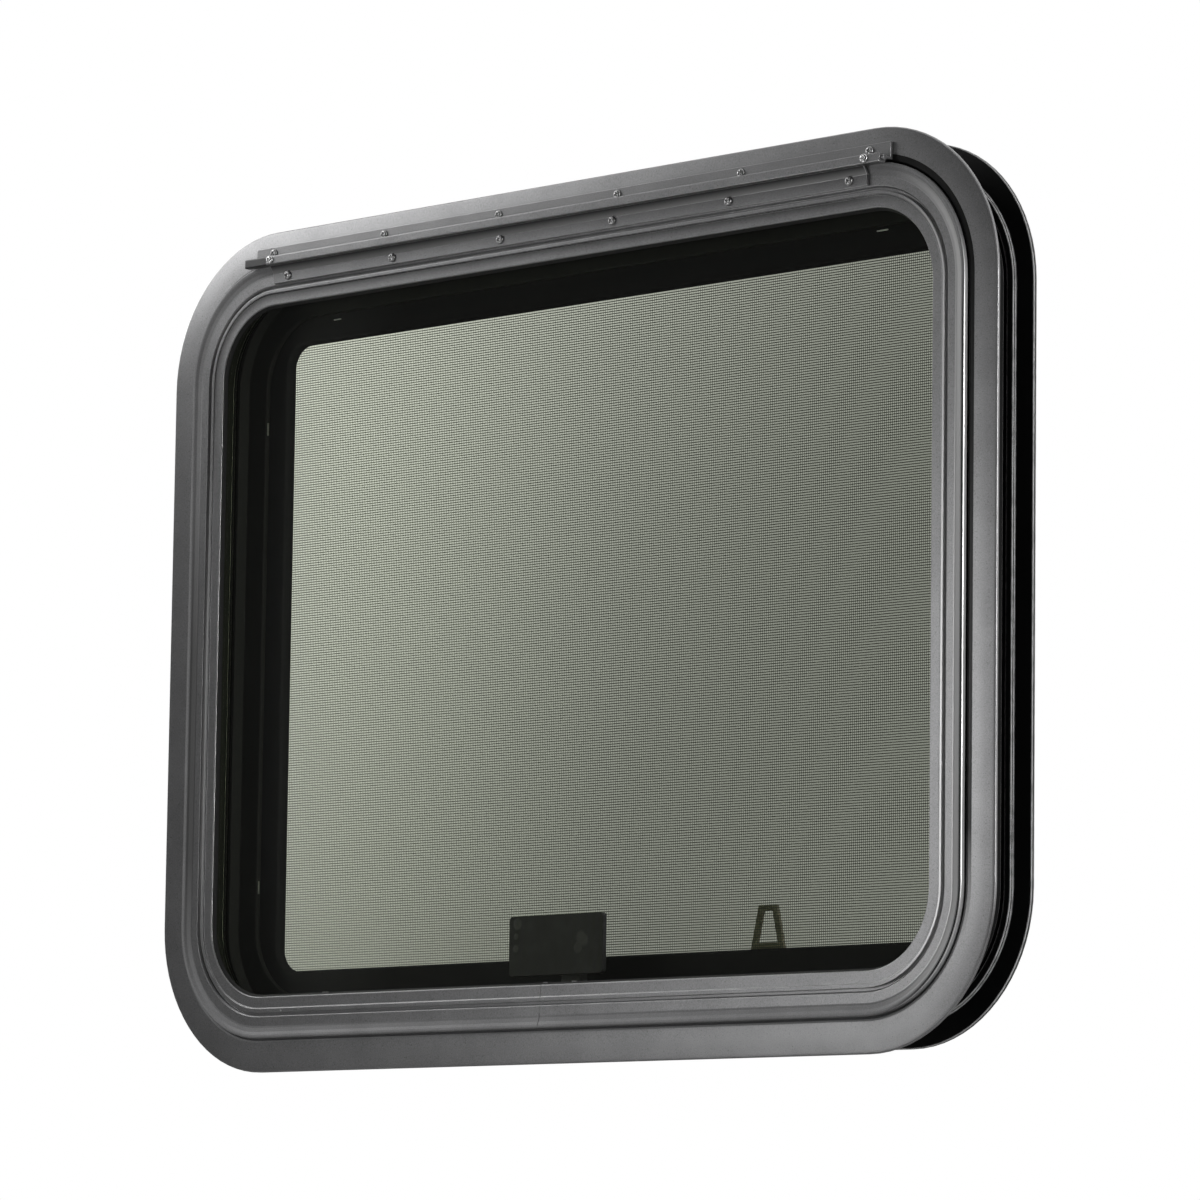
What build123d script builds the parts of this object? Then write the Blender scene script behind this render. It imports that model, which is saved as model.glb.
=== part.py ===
"""Top-hung caravan window: outer frame, glazed sash on a long hinge, inner clamp ring and insect screen.

Millimetres. X runs along the width, Z is up, and Y runs from outside to inside.
The origin is the middle of the opening, on the back face of the outer flange, so
the plane Y = 0 is the outer skin of the caravan.

Most sections are drawn as pairs (d, y): d is the distance inwards from the outer
edge of the flange, and y is the depth. One section is run round all four sides.
"""

import os

from build123d import *

# Overall size, read from the photograph
WIDTH = 640.0
HEIGHT = 490.0
CORNER_R = 86.0

# Caravan wall that the window is made for
OVERLAP = 20.0
WALL = 30.0
FIT = 1.5

# Outer frame
FLANGE_T = 3.05
FLANGE_EDGE_T = 1.9
FLANGE_EDGE_BEVEL = 0.6
FLANGE_CROWN_D = 9.4
FLANGE_CROWN_T = 2.97
FLANGE_CROWN_R = 150.0
FLANGE_BEVEL = 0.5
FLANGE_FACE = OVERLAP - 1.4
GUTTER_Y = -1.2
SHEET = 2.0
SPIGOT_D = OVERLAP + FIT
SPIGOT_END = WALL - 2.0
STOP_Y = 14.0
STOP_D = 36.0
PORT_W = 2.5
PORT_WALL = 1.5

# Sash
SASH_D = FLANGE_FACE + 0.8
SASH_EDGE_BACK = -2.2
RIM_EDGE_Y = -5.9
RIM_EDGE_R = 0.7
RIM_EDGE_W = 1.6
RIM_EDGE_BEVEL = 0.5
DISH_W = 4.8
DISH_BEVEL = 1.2
SASH_BEVEL = 0.9
SASH_FACE_Y = -4.3
SASH_STEP_D = 32.7
SASH_BODY_D = SPIGOT_D + SHEET + 2.5
SASH_BACK_Y = 9.0
SASH_WALL = 1.8
SASH_FACE_T = 4.2
GROOVE_W = 1.7
GROOVE_DEEP = 2.2
RIDGE_D = 36.9
RIDGE_Y = -4.2
RIDGE_SLOPE = 0.5
SIGHT_D = 43.4
LIP_Y = -3.6
LIP_T = 2.0
LIP_BEVEL = 0.4
FOOT_W = 6.5
SEAM_X = -5.5
SEAM_W = 0.3

# Glass and its bed of sealant
GLASS_T = 5.0
GLASS_D = 36.8
GLASS_PLAY = 0.8
GLASS_BEVEL = 0.4
BED_T = 1.0
BED_SETBACK = 0.3
GLASS_Y = LIP_Y + LIP_T + BED_T

# Weather seal between the stop and the sash
SEAL_D = 28.6
SEAL_W = 6.8
SEAL_BEVEL = 1.4

# Hinge along the top
HINGE_D = 18.4
HINGE_Z = HEIGHT / 2 - HINGE_D
HINGE_Y = RIM_EDGE_Y - 3.1
BARREL_HALF = 2.6
BARREL_EDGE_R = 0.7
BEAD_R = 1.5
BEAD_PLAY = 0.1
NECK_T = 1.2
MOUTH_DOWN = 2.4
MOUTH_UP = 1.0
LEAF_T = 1.6
UPPER_LEAF_L = 495.0
UPPER_LEAF_W = 9.7
BARREL_L = 496.0
BARREL_SHIFT = -2.5
LOWER_LEAF_L = 464.0
LOWER_LEAF_W = 5.8
LEAF_SETBACK = 7.0

# Inner clamp ring
RING_D = 4.0
COLLAR_T = 2.0
COLLAR_D = OVERLAP - 3.5
COLLAR_W = 4.5
RING_T = 3.0
RING_Y = WALL + COLLAR_T
SLEEVE_PLAY = 0.5
SLEEVE_D = SPIGOT_D + SHEET + PORT_W + PORT_WALL + SLEEVE_PLAY
SLEEVE_FRONT = 24.5
RIM_D = 38.5
RIM_T = 3.0
RIM_BEVEL = 0.8
RING_BEVEL = 0.9
SEAT_D = 45.0

# Insect screen
SCREEN_PLAY = 0.5
SCREEN_D = RIM_D + RIM_T + SCREEN_PLAY
SCREEN_OPEN_D = 60.5
SCREEN_OPEN_R = 14.0
SCREEN_Y = RING_Y + RING_T
SCREEN_T = 9.0
SCREEN_BEVEL = 1.2
RIM_STAND = 0.3
RIM_BACK = SCREEN_Y + SCREEN_T + RIM_STAND
MESH_Y = 41.0
MESH_T = 0.6
SPLINE_W = 3.0
SPLINE_T = 2.0
MESH_D = SCREEN_OPEN_D - SPLINE_W - 2.9
MESH_PLAY = 0.1
CLIP_W = 9.0
CLIP_T = 1.2
CLIP_L = 12.0
CLIP_HOLD = 3.5
CLIP_BEVEL = 2.0
CLIP_FROM_SIDE = 105.0
CLIP_FROM_TOP = 112.0

# Pull loop on the screen
LOOP_FROM_SIDE = 198.5
LOOP_W = 24.5
LOOP_TOP_W = 13.0
LOOP_H = 24.5
LOOP_T = 2.0
LOOP_BAR = 3.8
LOOP_TOP_BAR = 3.0
LOOP_FOOT = 13.0
LOOP_SILL = 0.6

# Latch on the glass
PLATE_W = 72.0
PLATE_H = 33.0
PLATE_T = 3.0
PLATE_R = 2.0
PLATE_D = 65.5
PLATE_Z = PLATE_D - HEIGHT / 2
LATCH_R = 11.0
LATCH_H = 9.0
LEVER_L = 44.0
LEVER_W = 14.0
LEVER_T = 6.0


def shaped_section(corners):
    """A closed section from (d, y, ease) corners: ease rounds a corner by its radius,
    a negative ease cuts it off by its length, and 0 leaves it sharp."""
    count = len(corners)
    points = [Vector(corner[0], corner[1]) for corner in corners]
    eased = []
    for i in range(count):
        here = points[i]
        to_back = (points[i - 1] - here).normalized()
        to_ahead = (points[(i + 1) % count] - here).normalized()
        ease = corners[i][2]
        half_sine = ((1 - to_back.dot(to_ahead)) / 2) ** 0.5
        half_cosine = ((1 + to_back.dot(to_ahead)) / 2) ** 0.5
        reach = ease * half_cosine / half_sine if ease > 0 else -ease
        bisector = (to_back + to_ahead).normalized()
        middle = here + bisector * (ease / half_sine - ease)
        eased.append((here + to_back * reach, middle, here + to_ahead * reach))
    edges = []
    for i in range(count):
        first, middle, last = eased[i]
        if corners[i][2] > 0:
            edges.append(Edge.make_three_point_arc(first, middle, last))
        if corners[i][2] < 0:
            edges.append(Edge.make_line(first, last))
        edges.append(Edge.make_line(last, eased[(i + 1) % count][0]))
    return Face(Wire(edges))


def run_round(section):
    """One section bent round the frame: a quarter of straight runs and a bend, mirrored twice."""
    radius = CORNER_R
    half_w = WIDTH / 2
    half_h = HEIGHT / 2
    foot = Plane(origin=(0, 0, -half_h), x_dir=(0, 0, 1), z_dir=(-1, 0, 0))
    bend_start = Plane(origin=(half_w - radius, 0, -half_h), x_dir=(0, 0, 1), z_dir=(-1, 0, 0))
    side = Plane(origin=(half_w, 0, 0), x_dir=(-1, 0, 0), z_dir=(0, 0, -1))
    bottom_run = extrude(foot * section, amount=half_w - radius, dir=(1, 0, 0))
    bend_axis = Axis((half_w - radius, 0, -half_h + radius), (0, -1, 0))
    bend = revolve(bend_start * section, axis=bend_axis, revolution_arc=90)
    side_run = extrude(side * section, amount=half_h - radius, dir=(0, 0, -1))
    quarter = bottom_run + bend + side_run
    half = quarter + mirror(quarter, about=Plane.YZ)
    return half + mirror(half, about=Plane.XY)


def rounded_plate(inset, radius, front, thickness):
    """A plate with the window's outline, inset by a distance, lying across Y."""
    lying = Plane(origin=(0, front, 0), x_dir=(1, 0, 0), z_dir=(0, 1, 0))
    outline = RectangleRounded(WIDTH - 2 * inset, HEIGHT - 2 * inset, radius)
    return extrude(lying * outline, amount=thickness)


def outer_frame():
    """Crowned flange outside, gutter under the sash edge, spigot with a screw port, and a stop."""
    spigot_in = SPIGOT_D + SHEET
    port_in = spigot_in + PORT_W
    port_back = port_in + PORT_WALL
    stop_back = STOP_Y + SHEET
    section = shaped_section([
        (0.0, 0.0, 0.0),
        (0.0, -FLANGE_EDGE_T, -FLANGE_EDGE_BEVEL),
        (FLANGE_CROWN_D, -FLANGE_CROWN_T, FLANGE_CROWN_R),
        (FLANGE_FACE, -FLANGE_T, -FLANGE_BEVEL),
        (FLANGE_FACE, GUTTER_Y, 0.0),
        (spigot_in, GUTTER_Y, 0.0),
        (spigot_in, STOP_Y, 0.0),
        (STOP_D, STOP_Y, 0.0),
        (STOP_D, stop_back, 0.0),
        (port_back, stop_back, 0.0),
        (port_back, SPIGOT_END, 0.0),
        (port_in, SPIGOT_END, 0.0),
        (port_in, stop_back + SHEET, 0.0),
        (spigot_in, stop_back + SHEET, 0.0),
        (spigot_in, SPIGOT_END, 0.0),
        (SPIGOT_D, SPIGOT_END, 0.0),
        (SPIGOT_D, 0.0, 0.0),
    ])
    return run_round(section)


def sash_frame():
    """Raised outer edge, a broad dished face, a groove, a ridge and a flat lip that holds the glass."""
    groove_floor = SASH_FACE_Y + GROOVE_DEEP
    groove_in = SASH_STEP_D + GROOVE_W
    body_in = GLASS_D - GLASS_PLAY
    foot_back = SASH_BACK_Y - SASH_WALL
    face_back = SASH_FACE_Y + SASH_FACE_T
    section = shaped_section([
        (SASH_D, RIM_EDGE_Y, RIM_EDGE_R),
        (SASH_D + RIM_EDGE_W, RIM_EDGE_Y, -RIM_EDGE_BEVEL),
        (SASH_D + DISH_W, SASH_FACE_Y, -DISH_BEVEL),
        (SASH_STEP_D, SASH_FACE_Y, -SASH_BEVEL),
        (SASH_STEP_D, groove_floor, 0.0),
        (groove_in, groove_floor, 0.0),
        (groove_in, RIDGE_Y, 0.0),
        (RIDGE_D - RIDGE_SLOPE, RIDGE_Y, 0.0),
        (RIDGE_D, LIP_Y, 0.0),
        (SIGHT_D, LIP_Y, -LIP_BEVEL),
        (SIGHT_D, LIP_Y + LIP_T, 0.0),
        (body_in, LIP_Y + LIP_T, 0.0),
        (body_in, SASH_BACK_Y, 0.0),
        (body_in - FOOT_W, SASH_BACK_Y, 0.0),
        (body_in - FOOT_W, foot_back, 0.0),
        (body_in - SASH_WALL, foot_back, 0.0),
        (body_in - SASH_WALL, face_back, 0.0),
        (SASH_BODY_D + SASH_WALL, face_back, 0.0),
        (SASH_BODY_D + SASH_WALL, SASH_BACK_Y, 0.0),
        (SASH_BODY_D, SASH_BACK_Y, 0.0),
        (SASH_BODY_D, SASH_EDGE_BACK, 0.0),
        (SASH_D, SASH_EDGE_BACK, 0.0),
    ])
    seam_z = (SASH_D + SIGHT_D) / 2 - HEIGHT / 2
    seam = Pos(SEAM_X, 0, seam_z) * Box(SEAM_W, 2 * SIGHT_D, SIGHT_D)
    return run_round(section) - seam


def glazing_bed():
    """Sealant between the back of the sash lip and the front of the glass."""
    bed_in = SIGHT_D - BED_SETBACK
    section = shaped_section([
        (GLASS_D, LIP_Y + LIP_T, 0.0),
        (bed_in, LIP_Y + LIP_T, 0.0),
        (bed_in, GLASS_Y, 0.0),
        (GLASS_D, GLASS_Y, 0.0),
    ])
    return run_round(section)


def glass_pane():
    """Flat toughened pane that drops in behind the lip."""
    pane = rounded_plate(GLASS_D, CORNER_R - GLASS_D, GLASS_Y, GLASS_T)
    return chamfer(pane.faces().sort_by(Axis.Y)[-1].edges(), GLASS_BEVEL)


def weather_seal():
    """Rubber strip on the stop, pressed by the back of the sash."""
    seal_in = SEAL_D + SEAL_W
    section = shaped_section([
        (SEAL_D, STOP_Y, 0.0),
        (SEAL_D, SASH_BACK_Y, -SEAL_BEVEL),
        (seal_in, SASH_BACK_Y, -SEAL_BEVEL),
        (seal_in, STOP_Y, 0.0),
    ])
    return run_round(section)


def hinge_run(section, length, shift=0.0):
    """A hinge section, with Z up first and depth second, run along the width."""
    across = Plane(origin=(shift - length / 2, 0, 0), x_dir=(0, 0, 1), z_dir=(-1, 0, 0))
    return extrude(across * section, amount=length, dir=(1, 0, 0))


def hinge_upper_leaf():
    """Plate on the flange with a neck that stands out from it and ends in a round bead."""
    foot = HINGE_Z - NECK_T / 2
    plate = Pos(foot + UPPER_LEAF_W / 2, -FLANGE_T - LEAF_T / 2) * Rectangle(UPPER_LEAF_W, LEAF_T)
    neck = Pos(HINGE_Z, (HINGE_Y - FLANGE_T) / 2) * Rectangle(NECK_T, -FLANGE_T - HINGE_Y)
    bead = Pos(HINGE_Z, HINGE_Y) * Circle(BEAD_R)
    return hinge_run(plate + neck + bead, UPPER_LEAF_L)


def hinge_lower_leaf():
    """Plate on the sash face whose upper edge is a flat-fronted socket, open behind for the neck."""
    leaf_front = SASH_FACE_Y - LEAF_T
    knee = HINGE_Z - LEAF_SETBACK
    plate = Pos(knee - LOWER_LEAF_W / 2, SASH_FACE_Y - LEAF_T / 2) * Rectangle(LOWER_LEAF_W, LEAF_T)
    web_top = HINGE_Z - (BEAD_R + BARREL_HALF) / 2
    web = Polygon(
        (knee, leaf_front),
        (knee, SASH_FACE_Y),
        (web_top, HINGE_Y + BARREL_HALF / 2),
        (web_top, HINGE_Y),
        align=None,
    )
    barrel = Pos(HINGE_Z, HINGE_Y) * RectangleRounded(2 * BARREL_HALF, 2 * BARREL_HALF, BARREL_EDGE_R)
    bore = Pos(HINGE_Z, HINGE_Y) * Circle(BEAD_R + BEAD_PLAY)
    reach = 2 * BARREL_HALF
    mouth = Polygon((0, 0), (-MOUTH_DOWN, reach), (reach, reach), (reach, MOUTH_UP), align=None)
    socket = barrel - bore - Pos(HINGE_Z, HINGE_Y) * mouth
    return hinge_run(plate + web, LOWER_LEAF_L) + hinge_run(socket, BARREL_L, BARREL_SHIFT)


def clamp_ring():
    """Inner ring: flange and collar on the inner skin, sleeve in the spigot, rim for the screen."""
    sleeve_in = SLEEVE_D + SHEET
    collar_in = COLLAR_D + COLLAR_W
    rim_in = RIM_D + RIM_T
    section = shaped_section([
        (RING_D, RING_Y, 0.0),
        (COLLAR_D, RING_Y, 0.0),
        (COLLAR_D, WALL, 0.0),
        (collar_in, WALL, 0.0),
        (collar_in, RING_Y, 0.0),
        (SLEEVE_D, RING_Y, 0.0),
        (SLEEVE_D, SLEEVE_FRONT, 0.0),
        (sleeve_in, SLEEVE_FRONT, 0.0),
        (sleeve_in, RING_Y, 0.0),
        (SEAT_D, RING_Y, 0.0),
        (SEAT_D, SCREEN_Y, 0.0),
        (rim_in, SCREEN_Y, 0.0),
        (rim_in, RIM_BACK, -RIM_BEVEL),
        (RIM_D, RIM_BACK, -RIM_BEVEL),
        (RIM_D, SCREEN_Y, 0.0),
        (RING_D, SCREEN_Y, -RING_BEVEL),
    ])
    return run_round(section)


def screen_frame():
    """Flat black frame with a rounded opening and a recess at the back for the mesh."""
    body = rounded_plate(SCREEN_D, CORNER_R - SCREEN_D, SCREEN_Y, SCREEN_T)
    body -= rounded_plate(SCREEN_OPEN_D, SCREEN_OPEN_R, SCREEN_Y, SCREEN_T)
    body = chamfer(body.faces().sort_by(Axis.Y)[0].inner_wires()[0].edges(), SCREEN_BEVEL)
    recess_d = MESH_D - MESH_PLAY
    recess_r = SCREEN_OPEN_R + SCREEN_OPEN_D - recess_d
    return body - rounded_plate(recess_d, recess_r, MESH_Y, SCREEN_T)


def insect_mesh():
    """The mesh as one thin sheet in the recess of the screen frame."""
    return rounded_plate(MESH_D, SCREEN_OPEN_R + SCREEN_OPEN_D - MESH_D, MESH_Y, MESH_T)


def screen_spline():
    """Rubber frame pressed in behind the edge of the mesh."""
    front = MESH_Y + MESH_T
    spline_in = MESH_D + SPLINE_W
    outer = rounded_plate(MESH_D, SCREEN_OPEN_R + SCREEN_OPEN_D - MESH_D, front, SPLINE_T)
    inner_r = SCREEN_OPEN_R + SCREEN_OPEN_D - spline_in
    return outer - rounded_plate(spline_in, inner_r, front, SPLINE_T)


def screen_clips():
    """Turn clips on the rim that hold the screen: two at the top and two on each side."""
    blank = Box(CLIP_W, CLIP_T, CLIP_L)
    clip = chamfer(blank.edges().filter_by(Axis.Y), CLIP_BEVEL)
    clip_y = RIM_BACK + CLIP_T / 2
    clip_d = RIM_D + RIM_T / 2 + CLIP_L / 2 - CLIP_HOLD
    top_x = WIDTH / 2 - CLIP_FROM_SIDE
    side_z = HEIGHT / 2 - CLIP_FROM_TOP
    places = []
    for sign in (-1, 1):
        places.append(Pos(sign * top_x, clip_y, HEIGHT / 2 - clip_d))
        for z in (-side_z, side_z):
            places.append(Pos(sign * (WIDTH / 2 - clip_d), clip_y, z) * Rot(0, 90, 0))
    return [place * clip for place in places]


def pull_loop():
    """Trapezoid loop that stands on the lower bar of the screen."""
    half = LOOP_W / 2
    top = LOOP_TOP_W / 2
    hole_half = half - LOOP_BAR
    hole_top = top - LOOP_TOP_BAR
    outer = Polyline(
        (-half, -LOOP_FOOT),
        (half, -LOOP_FOOT),
        (half, 0),
        (top, LOOP_H),
        (-top, LOOP_H),
        (-half, 0),
        close=True,
    )
    hole = Polyline(
        (-hole_half, LOOP_SILL),
        (hole_half, LOOP_SILL),
        (hole_top, LOOP_H - LOOP_TOP_BAR),
        (-hole_top, LOOP_H - LOOP_TOP_BAR),
        close=True,
    )
    shape = make_face(outer) - make_face(hole)
    loop_x = WIDTH / 2 - LOOP_FROM_SIDE
    loop_y = SCREEN_Y + SCREEN_T + LOOP_T
    stand = Plane(origin=(loop_x, loop_y, SCREEN_OPEN_D - HEIGHT / 2), x_dir=(1, 0, 0), z_dir=(0, -1, 0))
    return extrude(stand * shape, amount=LOOP_T)


def latch_base():
    """Plate bonded to the inner face of the glass with a round boss for the lever."""
    glass_back = GLASS_Y + GLASS_T
    plate = Pos(0, glass_back + PLATE_T / 2, PLATE_Z) * Box(PLATE_W, PLATE_T, PLATE_H)
    plate = fillet(plate.edges().filter_by(Axis.Y), PLATE_R)
    boss_plane = Plane(origin=(0, glass_back + PLATE_T, PLATE_Z), z_dir=(0, 1, 0))
    return plate + extrude(boss_plane * Circle(LATCH_R), amount=LATCH_H)


def latch_lever():
    """Turning lever on the boss, pointing down over the lower rail."""
    front = GLASS_Y + GLASS_T + PLATE_T + LATCH_H
    middle = PLATE_Z - LEVER_L / 2 + LEVER_W / 2
    lever_plane = Plane(origin=(0, front, middle), x_dir=(0, 0, 1), z_dir=(0, 1, 0))
    return extrude(lever_plane * SlotOverall(LEVER_L, LEVER_W), amount=LEVER_T)


PIECES = {
    "outer_frame": outer_frame,
    "sash_frame": sash_frame,
    "glazing_bed": glazing_bed,
    "glass_pane": glass_pane,
    "weather_seal": weather_seal,
    "hinge_upper_leaf": hinge_upper_leaf,
    "hinge_lower_leaf": hinge_lower_leaf,
    "clamp_ring": clamp_ring,
    "screen_frame": screen_frame,
    "insect_mesh": insect_mesh,
    "screen_spline": screen_spline,
    "screen_clips": screen_clips,
    "pull_loop": pull_loop,
    "latch_base": latch_base,
    "latch_lever": latch_lever,
}

os.makedirs("parts", exist_ok=True)
for name, make in PIECES.items():
    made = make()
    solids = made if isinstance(made, list) else made.solids()
    export_step(Compound(children=list(solids)), f"parts/{name}.step")
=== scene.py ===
"""Looks of the top-hung caravan window: finishes, insect mesh, screws, small marks, studio and camera.

Metres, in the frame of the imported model: X along the width, Y from outside to inside, Z up.
"""

import math
import random

import bmesh
import bpy
from mathutils import Matrix, Vector


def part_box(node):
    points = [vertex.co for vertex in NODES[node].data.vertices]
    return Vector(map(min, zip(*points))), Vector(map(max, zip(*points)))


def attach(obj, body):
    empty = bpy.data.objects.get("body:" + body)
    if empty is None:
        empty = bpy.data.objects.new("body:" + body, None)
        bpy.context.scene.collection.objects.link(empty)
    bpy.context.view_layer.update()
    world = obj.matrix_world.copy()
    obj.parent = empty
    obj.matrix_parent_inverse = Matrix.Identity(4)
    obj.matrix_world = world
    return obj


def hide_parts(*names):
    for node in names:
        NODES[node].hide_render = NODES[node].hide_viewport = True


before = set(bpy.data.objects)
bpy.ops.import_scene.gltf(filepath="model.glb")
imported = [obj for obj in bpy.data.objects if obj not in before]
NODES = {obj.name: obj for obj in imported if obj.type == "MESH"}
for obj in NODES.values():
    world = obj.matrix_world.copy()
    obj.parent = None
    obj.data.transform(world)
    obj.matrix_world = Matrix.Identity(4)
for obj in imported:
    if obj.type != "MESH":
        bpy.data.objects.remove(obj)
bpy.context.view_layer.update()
MM = 0.001

# Outline of the window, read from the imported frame
FRAME_HIGH = Vector(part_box("outer_frame")[1])
HALF_W = FRAME_HIGH.x
HALF_H = FRAME_HIGH.z
CORNER_R = 86 * MM

# Angles in degrees below which edges are shaded smooth
FLAT_SMOOTH = 20
BENT_SMOOTH = 40
ROUND_SMOOTH = 65

# Insect mesh
MESH_PITCH = 1.41 * MM
LEVEL_R = 0.26 * MM
UPRIGHT_R = 0.13 * MM
THREAD_SIDES = 6
MESH_CORNER_R = 20 * MM

# Screws
SCREW_R = 2.5 * MM
SCREW_H = 1.5 * MM
SCREW_EDGE = 0.42
HEAD_RINGS = 14
HEAD_STEPS = 40
RECESS_HALF = 0.28 * MM
RECESS_WALL = 0.22 * MM
RECESS_REACH = 1.35 * MM
RECESS_END = 0.3 * MM
RECESS_DEPTH = 0.9 * MM
UPPER_SCREW_X = 233 * MM
UPPER_SCREW_Y = -4.65 * MM
UPPER_SCREW_Z = 232.1 * MM
LOWER_SCREW_X = 219.5 * MM
LOWER_SCREW_Y = -5.9 * MM
LOWER_SCREW_Z = 217.6 * MM
SCREWS_A_ROW = 6
STOP_SCREW_X = (-229 * MM, 235 * MM)
STOP_SCREW_Z = 226.8 * MM
RING_SCREW_X = 205 * MM
RING_SCREW_Z = 130 * MM
RING_SCREW_INSET = 24.75 * MM
RING_SCREW_Y = 35 * MM

# Small marks that the photograph shows, as x, y, z and reach in millimetres
CHIPS = (
    (286.6, -4, -96.6, 3),
    (-300.5, -4, 27.5, 2),
    (67, -1, -245, 2),
    (-215, -4, -210, 1),
    (-200, -4, -209.5, 1),
)
LATCH_SMEARS = (
    (20, 4.4, -177, 6),
    (17, 4.4, -181, 4),
    (-30, 4.4, -167, 4),
    (-31, 4.4, -174, 2.5),
    (-31, 4.4, -181, 3),
)
CLIP_SMEARS = ((-215, 45, 205, 3), (276, 45, 133, 3))

# Zones of the section, as insets from the outer edge in millimetres; most of them place painted highlights
# and painted shade
KEPT_EDGES = (12, 28)
FLANGE_EDGE = (14.8, 19.7)
RIM_EDGE = (17.3, 19.7)
RIM_SHADE = (20, 21)
RIM_SLOPE = (22, 27)
GROOVE = (32.3, 35.7)
LIP = (36, 50)
LIP_FADE = (36.5, 41.5)
BEHIND_GLASS = 25

# Zones of the section, as depths in millimetres
RIM_DEPTH = (-40, -3.2)
FLANGE_DEPTH = (-3.2, 0.3)
WALL_DEPTH = (0.3, 40)

# Zones of the lower hinge leaf, as heights in millimetres, for painted shade and light in the fold under its
# barrel
LEAF_FADE = (213.8, 219.6)
LEAF = (200, 219.6)
WEB_FADE = (219.6, 223.8)
WEB = (219.6, 223.9)
BARREL_STUB_X = -232.5

# Sides of the window, as fades along an axis from the place where a mask is 0 to where it is 1, in metres
# The sides place painted light and painted shade on the frame, the sash, the black coat and the mesh.
SIDES = {
    "upper_left": (("X", -0.18, -0.26), ("Z", 0.02, 0.14)),
    "left": (("X", -0.255, -0.285), ("Z", -0.19, -0.12), ("Z", 0.12, 0.0)),
    "right": (("X", 0.25, 0.285),),
    "low_right": (("X", 0.25, 0.285), ("Z", 0.18, 0.13)),
    "gap_shadow": (("X", 0.19, 0.25), ("Z", -0.19, -0.13)),
    "top": (("Z", 0.1, 0.195), ("X", 0.28, 0.22)),
    "far_left": (("X", -0.16, -0.25),),
    "mesh_painted_light": (("X", 0.0, -0.26),),
}

SASH_SIDES = ("upper_left", "left", "right", "low_right", "top")

# Colours that are used twice or more
# A deep dark, used as painted shadow along the gap and beside the rim, and for the part that lies in the wall
DEEP_DARK = (0.012, 0.012, 0.012)
GLASS_TINT = (0.868, 0.913, 0.775, 1)

# Studio
FLOOR_Z = -0.95
FLOOR_HALF = 6
FLAG_Y = -3.5
BACKDROP_Y = 0.6
BACKDROP_LEAN = 0.79
BACKDROP_FADE = (-1.54, -0.26)
BACKDROP_GLOW = (1.18, 0.345)

# Camera solved from the photograph
CAMERA_AT = Vector((2.29925, -2.30956, -0.38849))
CAMERA_TARGET = Vector((0.03417, -0.0015, 0.00818))
CAMERA_ROLL = math.radians(0.773)
CAMERA_LENS = 178.22
SENSOR = 36.0


def new_material(name):
    """A material with a Principled node, its node tree, and that node."""
    material = bpy.data.materials.new(name)
    material.use_nodes = True
    tree = material.node_tree
    return material, tree, tree.nodes["Principled BSDF"]


def node(tree, kind, **inputs):
    """Adds a node and sets its plain values, by input name or attribute name."""
    made = tree.nodes.new(kind)
    for key, value in inputs.items():
        if key in made.inputs:
            made.inputs[key].default_value = value
        else:
            setattr(made, key, value)
    return made


def noise(tree, where, scale, detail=2.0, roughness=0.5):
    """Noise in object space at a scale given in cycles per metre."""
    made = node(tree, "ShaderNodeTexNoise", Scale=scale, Detail=detail, Roughness=roughness)
    tree.links.new(where, made.inputs["Vector"])
    return made.outputs["Fac"]


def remap(tree, value, low, high, to_low, to_high, kind="LINEAR"):
    """A value moved from one range to another, kept inside the second."""
    made = node(tree, "ShaderNodeMapRange", interpolation_type=kind)
    made.inputs["From Min"].default_value = low
    made.inputs["From Max"].default_value = high
    made.inputs["To Min"].default_value = to_low
    made.inputs["To Max"].default_value = to_high
    tree.links.new(value, made.inputs["Value"])
    return made.outputs["Result"]


def math_node(tree, operation, a, b=None):
    """One sum of two sockets or numbers."""
    made = node(tree, "ShaderNodeMath", operation=operation)
    for socket, value in zip(made.inputs, (a, b)):
        if value is None:
            continue
        if isinstance(value, (int, float)):
            socket.default_value = value
        else:
            tree.links.new(value, socket)
    return made.outputs["Value"]


def product(tree, *masks):
    """Masks multiplied together."""
    result = masks[0]
    for mask in masks[1:]:
        result = math_node(tree, "MULTIPLY", result, mask)
    return result


def most_of(tree, *masks):
    """The highest of some masks at each point."""
    result = masks[0]
    for mask in masks[1:]:
        result = math_node(tree, "MAXIMUM", result, mask)
    return result


def inverse(tree, mask):
    """1 where a mask is 0, and 0 where it is 1."""
    return math_node(tree, "SUBTRACT", 1, mask)


def tint(tree, factor, first, second):
    """A colour between two colours, each given as numbers or as a socket."""
    made = node(tree, "ShaderNodeMix", data_type="RGBA")
    tree.links.new(factor, made.inputs["Factor"])
    colour_inputs = [socket for socket in made.inputs if socket.type == "RGBA"]
    for socket, colour in zip(colour_inputs, (first, second)):
        if isinstance(colour, tuple):
            socket.default_value = (*colour, 1)
        else:
            tree.links.new(colour, socket)
    return next(socket for socket in made.outputs if socket.type == "RGBA")


def object_place(tree):
    """Object coordinates, which are the window's own frame."""
    return node(tree, "ShaderNodeTexCoord").outputs["Object"]


def axes_of(tree, where):
    """The X, Y and Z of a place, by name."""
    parts = node(tree, "ShaderNodeSeparateXYZ")
    tree.links.new(where, parts.inputs["Vector"])
    return {axis: parts.outputs[axis] for axis in "XYZ"}


def side(tree, axes, name):
    """A soft mask of one of the window's sides."""
    return product(tree, *(remap(tree, axes[axis], none, full, 0, 1) for axis, none, full in SIDES[name]))


def soft_edges(tree, radius):
    """A normal that turns softly over sharp edges."""
    return node(tree, "ShaderNodeBevel", Radius=radius, samples=8).outputs["Normal"]


def bumped(tree, normal, height, strength, distance):
    """A normal with a fine bump on top."""
    bump = node(tree, "ShaderNodeBump", Strength=strength, Distance=distance)
    tree.links.new(height, bump.inputs["Height"])
    tree.links.new(normal, bump.inputs["Normal"])
    return bump.outputs["Normal"]


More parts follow.
